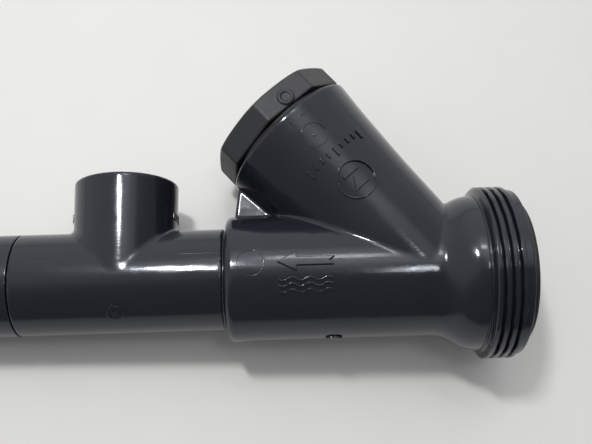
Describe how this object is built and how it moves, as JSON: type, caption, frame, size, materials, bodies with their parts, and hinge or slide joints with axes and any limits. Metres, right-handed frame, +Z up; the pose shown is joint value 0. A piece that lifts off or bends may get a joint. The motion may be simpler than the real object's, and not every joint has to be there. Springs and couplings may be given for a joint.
{
  "type": "ball check valve",
  "caption": "Y-pattern plastic ball check valve with a threaded union end and a screw cap on its angled branch, cemented to a plain branch tee and a straight coupling.",
  "frame": {"origin": "centre of the bounding box at its lowest height, under the assembly as it lies on its side", "axes": "+X along the run towards the threaded inlet, +Y towards the side the tee branch and the capped branch point to, +Z up; the flow goes along -X"},
  "size_m": [0.2994, 0.15, 0.0842],
  "materials": {
    "grey_pvc": "moulded, glossy dark grey",
    "cap_plastic": "satin, slightly lighter grey",
    "black_rubber": "matte black",
    "ball_rubber": "smooth matte black",
    "ball_metal": "as cast"
  },
  "bodies": {
    "valve": {"valve_body": "grey_pvc", "branch_tee": "grey_pvc", "pipe_coupling": "grey_pvc", "pipe_nipple_left": "grey_pvc", "pipe_nipple_right": "grey_pvc", "reducing_bush": "grey_pvc"},
    "cap_seal": {"cap_o_ring": "black_rubber"},
    "cap": {"screw_cap": "cap_plastic"},
    "ball": {"ball_coating": "ball_rubber", "ball_core": "ball_metal"},
    "seat_insert": {"seat_carrier": "grey_pvc", "seat_ring": "black_rubber", "carrier_o_ring": "black_rubber", "face_gasket": "black_rubber"}
  },
  "joints": [
    {"name": "cap_rise", "type": "slide", "parent": "valve", "child": "cap_seal", "axis": [-0.6561, 0.7547, 0], "range_m": [0, 0.016]},
    {"name": "cap_turn", "type": "hinge", "parent": "cap_seal", "child": "cap", "pos_m": [0.10275, -0.03286, 0.0421], "axis": [-0.6561, 0.7547, 0], "range_deg": [0, 1440]},
    {"name": "ball_lift", "type": "slide", "parent": "valve", "child": "ball", "axis": [-0.6561, 0.7547, 0], "range_m": [0, 0.076]},
    {"name": "seat_out", "type": "slide", "parent": "valve", "child": "seat_insert", "axis": [1, 0, 0], "range_m": [0, 0.045]}
  ],
  "couplings": [
    {"joint": "cap_turn", "follows": "cap_rise", "rad_per_m": 1570.8}
  ]
}
